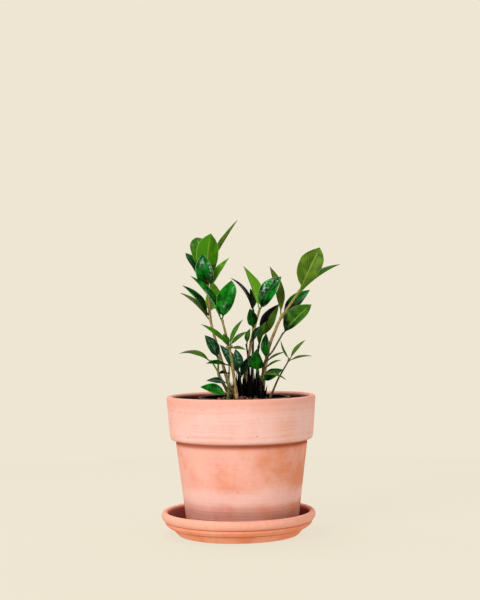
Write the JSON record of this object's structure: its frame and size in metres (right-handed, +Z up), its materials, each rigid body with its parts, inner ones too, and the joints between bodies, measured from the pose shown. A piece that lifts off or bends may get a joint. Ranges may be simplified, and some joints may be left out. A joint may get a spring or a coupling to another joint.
{
  "type": "potted zz plant",
  "caption": "Young leafy houseplant with glossy leaves in a plastic nursery pot, standing in a clay pot on a clay saucer",
  "frame": {"origin": "middle of the saucer's flat underside", "axes": "+Z up, -Y towards the front of the plant, +X to the right seen from the front"},
  "size_m": [0.1825, 0.155, 0.317],
  "materials": {
    "clay": "unglazed fired clay, pale bloom, damp dark foot",
    "saucer_clay": "unglazed fired clay, more orange",
    "black_plastic": "thin moulded black plastic",
    "soil": "dark peaty compost with crumbs",
    "stem": "tan brown, mottled, satin",
    "leaf": "glossy waxy green"
  },
  "bodies": {
    "root": {"terracotta_pot": "clay", "nursery_pot": "black_plastic", "stem_tall_left": "stem", "leaf_tall_left_1": "leaf", "leaf_tall_left_2": "leaf", "leaf_tall_left_3": "leaf", "leaf_tall_left_4": "leaf", "leaf_tall_left_5": "leaf", "leaf_tall_left_6": "leaf", "leaf_tall_left_7": "leaf", "leaf_tall_left_8": "leaf", "leaf_tall_left_9": "leaf", "stem_inner_left": "stem", "leaf_inner_left_1": "leaf", "leaf_inner_left_2": "leaf", "stem_low_left": "stem", "leaf_low_left_1": "leaf", "leaf_low_left_2": "leaf", "stem_outer_left": "stem", "leaf_outer_left_1": "leaf", "stem_front_left": "stem", "leaf_front_left_1": "leaf", "leaf_front_left_2": "leaf", "leaf_front_left_3": "leaf", "leaf_front_left_4": "leaf", "stem_centre_front": "stem", "leaf_centre_front_1": "leaf", "leaf_centre_front_2": "leaf", "leaf_centre_front_3": "leaf", "stem_centre_short": "stem", "leaf_centre_short_1": "leaf", "stem_centre_tall": "stem", "leaf_centre_tall_1": "leaf", "leaf_centre_tall_2": "leaf", "leaf_centre_tall_3": "leaf", "leaf_centre_tall_4": "leaf", "stem_centre_back": "stem", "leaf_centre_back_1": "leaf", "leaf_centre_back_2": "leaf", "stem_back_tall": "stem", "leaf_back_tall_1": "leaf", "leaf_back_tall_2": "leaf", "stem_tall_right": "stem", "leaf_tall_right_1": "leaf", "leaf_tall_right_2": "leaf", "leaf_tall_right_3": "leaf", "leaf_tall_right_4": "leaf", "stem_thin_right": "stem", "leaf_thin_right_1": "leaf", "leaf_thin_right_2": "leaf", "leaf_thin_right_3": "leaf", "leaf_thin_right_4": "leaf", "stem_low_right": "stem", "leaf_low_right_1": "leaf", "leaf_low_right_2": "leaf", "leaf_low_right_3": "leaf", "sprout_left": "leaf", "sprout_right": "leaf", "potting_soil": "soil", "saucer": "saucer_clay"}
  },
  "joints": []
}
